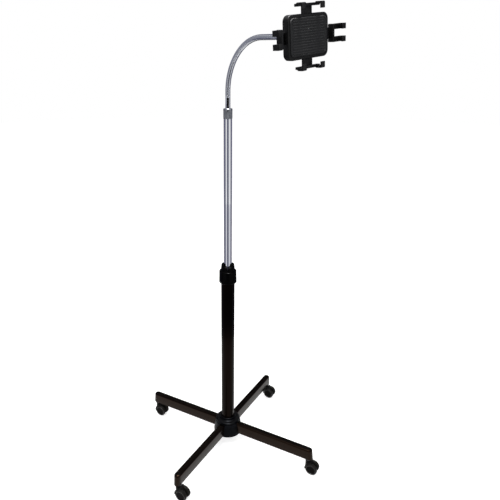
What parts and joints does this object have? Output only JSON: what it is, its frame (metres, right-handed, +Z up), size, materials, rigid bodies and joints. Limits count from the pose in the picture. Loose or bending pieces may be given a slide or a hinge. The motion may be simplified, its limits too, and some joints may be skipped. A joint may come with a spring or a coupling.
{
  "type": "tablet floor stand",
  "caption": "Rolling floor stand for a tablet: caster base, telescopic twist-lock pole, bendable gooseneck and a ball-jointed holder with sliding hooked arms.",
  "frame": {"origin": "on the pole's axis at floor level", "axes": "+Z up along the pole, -Y the way the holder faces, +X to the right of the holder seen from behind it"},
  "size_m": [0.575, 0.5825, 1.3176],
  "materials": {
    "leg_enamel": "gloss black enamel",
    "hub_plastic": "satin black",
    "zinc_steel": "zinc plated",
    "socket_plastic": "matt dark grey",
    "lock_plastic": "gloss black",
    "caster_plastic": "satin dark grey",
    "wheel_plastic": "satin dark grey",
    "nylon": "natural nylon",
    "chrome": "polished",
    "ring_metal": "matt dark grey",
    "neck_steel": "bright wound steel",
    "holder_plastic": "satin black",
    "pad_rubber": "matt"
  },
  "bodies": {
    "base": {"base_hub": "hub_plastic", "hub_cap": "hub_plastic", "leg_1": "leg_enamel", "leg_2": "leg_enamel", "leg_3": "leg_enamel", "leg_4": "leg_enamel", "leg_bolts": "zinc_steel", "pole_bolt": "zinc_steel", "caster_sockets": "socket_plastic", "lower_tube": "leg_enamel", "pole_collet": "lock_plastic"},
    "lock_nut": {"lock_nut": "lock_plastic"},
    "slider": {"guide_bush": "nylon"},
    "upper_pole": {"upper_tube": "chrome", "coupling_ring": "ring_metal", "lower_ferrule": "chrome", "neck_hose_1": "neck_steel", "neck_core_1": "zinc_steel"},
    "caster_1": {"caster_1_housing": "caster_plastic", "caster_1_pins": "zinc_steel"},
    "caster_1_wheel_left": {"caster_1_wheel_left": "wheel_plastic"},
    "caster_1_wheel_right": {"caster_1_wheel_right": "wheel_plastic"},
    "caster_2": {"caster_2_housing": "caster_plastic", "caster_2_pins": "zinc_steel"},
    "caster_2_wheel_left": {"caster_2_wheel_left": "wheel_plastic"},
    "caster_2_wheel_right": {"caster_2_wheel_right": "wheel_plastic"},
    "caster_3": {"caster_3_housing": "caster_plastic", "caster_3_pins": "zinc_steel"},
    "caster_3_wheel_left": {"caster_3_wheel_left": "wheel_plastic"},
    "caster_3_wheel_right": {"caster_3_wheel_right": "wheel_plastic"},
    "caster_4": {"caster_4_housing": "caster_plastic", "caster_4_pins": "zinc_steel"},
    "caster_4_wheel_left": {"caster_4_wheel_left": "wheel_plastic"},
    "caster_4_wheel_right": {"caster_4_wheel_right": "wheel_plastic"},
    "neck_2": {"neck_hose_2": "neck_steel", "neck_core_2": "zinc_steel"},
    "neck_3": {"neck_hose_3": "neck_steel", "neck_core_3": "zinc_steel"},
    "neck_4": {"neck_hose_4": "neck_steel", "neck_core_4": "zinc_steel"},
    "neck_5": {"neck_hose_5": "neck_steel", "neck_core_5": "zinc_steel"},
    "neck_6": {"neck_hose_6": "neck_steel", "neck_core_6": "zinc_steel", "end_ferrule": "chrome"},
    "ball": {"ball_stud": "zinc_steel"},
    "liner": {"ball_liner": "nylon"},
    "holder": {"back_shell": "holder_plastic", "front_plate": "holder_plastic", "front_pad": "pad_rubber", "shell_screws": "zinc_steel"},
    "lock_ring": {"ball_lock_ring": "holder_plastic"},
    "arm_right": {"arm_right": "holder_plastic"},
    "arm_left": {"arm_left": "holder_plastic"},
    "arm_top": {"arm_top": "holder_plastic"},
    "arm_bottom": {"arm_bottom": "holder_plastic"}
  },
  "joints": [
    {"name": "caster_1_swivel", "type": "hinge", "parent": "base", "child": "caster_1", "pos_m": [0.09403, -0.26851, 0.06], "axis": [0, 0, 1], "continuous": true},
    {"name": "caster_1_spin_left", "type": "hinge", "parent": "caster_1", "child": "caster_1_wheel_left", "pos_m": [0.09899, -0.28267, 0.018], "axis": [0.9438, 0.3305, 0], "continuous": true},
    {"name": "caster_1_spin_right", "type": "hinge", "parent": "caster_1", "child": "caster_1_wheel_right", "pos_m": [0.09899, -0.28267, 0.018], "axis": [0.9438, 0.3305, 0], "continuous": true},
    {"name": "caster_2_swivel", "type": "hinge", "parent": "base", "child": "caster_2", "pos_m": [0.26851, 0.09403, 0.06], "axis": [0, 0, 1], "continuous": true},
    {"name": "caster_2_spin_left", "type": "hinge", "parent": "caster_2", "child": "caster_2_wheel_left", "pos_m": [0.27347, 0.07987, 0.018], "axis": [0.9438, 0.3305, 0], "continuous": true},
    {"name": "caster_2_spin_right", "type": "hinge", "parent": "caster_2", "child": "caster_2_wheel_right", "pos_m": [0.27347, 0.07987, 0.018], "axis": [0.9438, 0.3305, 0], "continuous": true},
    {"name": "caster_3_swivel", "type": "hinge", "parent": "base", "child": "caster_3", "pos_m": [-0.09403, 0.26851, 0.06], "axis": [0, 0, 1], "continuous": true},
    {"name": "caster_3_spin_left", "type": "hinge", "parent": "caster_3", "child": "caster_3_wheel_left", "pos_m": [-0.08907, 0.25435, 0.018], "axis": [0.9438, 0.3305, 0], "continuous": true},
    {"name": "caster_3_spin_right", "type": "hinge", "parent": "caster_3", "child": "caster_3_wheel_right", "pos_m": [-0.08907, 0.25435, 0.018], "axis": [0.9438, 0.3305, 0], "continuous": true},
    {"name": "caster_4_swivel", "type": "hinge", "parent": "base", "child": "caster_4", "pos_m": [-0.26851, -0.09403, 0.06], "axis": [0, 0, 1], "continuous": true},
    {"name": "caster_4_spin_left", "type": "hinge", "parent": "caster_4", "child": "caster_4_wheel_left", "pos_m": [-0.26355, -0.10819, 0.018], "axis": [0.9438, 0.3305, 0], "continuous": true},
    {"name": "caster_4_spin_right", "type": "hinge", "parent": "caster_4", "child": "caster_4_wheel_right", "pos_m": [-0.26355, -0.10819, 0.018], "axis": [0.9438, 0.3305, 0], "continuous": true},
    {"name": "lock_nut_turn", "type": "hinge", "parent": "base", "child": "lock_nut", "pos_m": [0, 0, 0.59], "axis": [0, 0, 1], "range_deg": [0, 150]},
    {"name": "height_slide", "type": "slide", "parent": "base", "child": "slider", "axis": [0, 0, 1], "range_m": [-0.4, 0.05]},
    {"name": "pole_turn", "type": "hinge", "parent": "slider", "child": "upper_pole", "pos_m": [0, 0, 0.48], "axis": [0, 0, 1], "continuous": true},
    {"name": "neck_bend_1", "type": "hinge", "parent": "upper_pole", "child": "neck_2", "pos_m": [0, -0.00488, 1.15182], "axis": [1, 0, 0], "range_deg": [-25, 25]},
    {"name": "neck_sway_2", "type": "hinge", "parent": "neck_2", "child": "neck_3", "pos_m": [0, -0.02519, 1.19421], "axis": [0, 0.812, 0.5837], "range_deg": [-25, 25]},
    {"name": "neck_bend_3", "type": "hinge", "parent": "neck_3", "child": "neck_4", "pos_m": [0, -0.05893, 1.22694], "axis": [1, 0, 0], "range_deg": [-25, 25]},
    {"name": "neck_sway_4", "type": "hinge", "parent": "neck_4", "child": "neck_5", "pos_m": [0, -0.10251, 1.24438], "axis": [0, 0.1759, 0.9844], "range_deg": [-25, 25]},
    {"name": "neck_bend_5", "type": "hinge", "parent": "neck_5", "child": "neck_6", "pos_m": [0, -0.14966, 1.24618], "axis": [1, 0, 0], "range_deg": [-25, 25]},
    {"name": "ball_roll", "type": "hinge", "parent": "neck_6", "child": "ball", "pos_m": [0, -0.23892, 1.24618], "axis": [0, -1, 0], "continuous": true},
    {"name": "ball_tilt", "type": "hinge", "parent": "ball", "child": "liner", "pos_m": [0, -0.23892, 1.24618], "axis": [0.9954, 0, 0.0958], "range_deg": [-25, 25]},
    {"name": "ball_pan", "type": "hinge", "parent": "liner", "child": "holder", "pos_m": [0, -0.23892, 1.24618], "axis": [-0.0958, 0, 0.9954], "range_deg": [-25, 25]},
    {"name": "lock_ring_turn", "type": "hinge", "parent": "holder", "child": "lock_ring", "pos_m": [0, -0.23892, 1.24618], "axis": [0, -1, 0], "range_deg": [0, 120]},
    {"name": "arm_right_slide", "type": "slide", "parent": "holder", "child": "arm_right", "axis": [0.9954, 0, 0.0958], "range_m": [-0.013, 0.03]},
    {"name": "arm_left_slide", "type": "slide", "parent": "holder", "child": "arm_left", "axis": [-0.9954, 0, -0.0958], "range_m": [-0.013, 0.03]},
    {"name": "arm_top_slide", "type": "slide", "parent": "holder", "child": "arm_top", "axis": [-0.0958, 0, 0.9954], "range_m": [-0.005, 0.024]},
    {"name": "arm_bottom_slide", "type": "slide", "parent": "holder", "child": "arm_bottom", "axis": [0.0958, 0, -0.9954], "range_m": [-0.005, 0.024]}
  ]
}
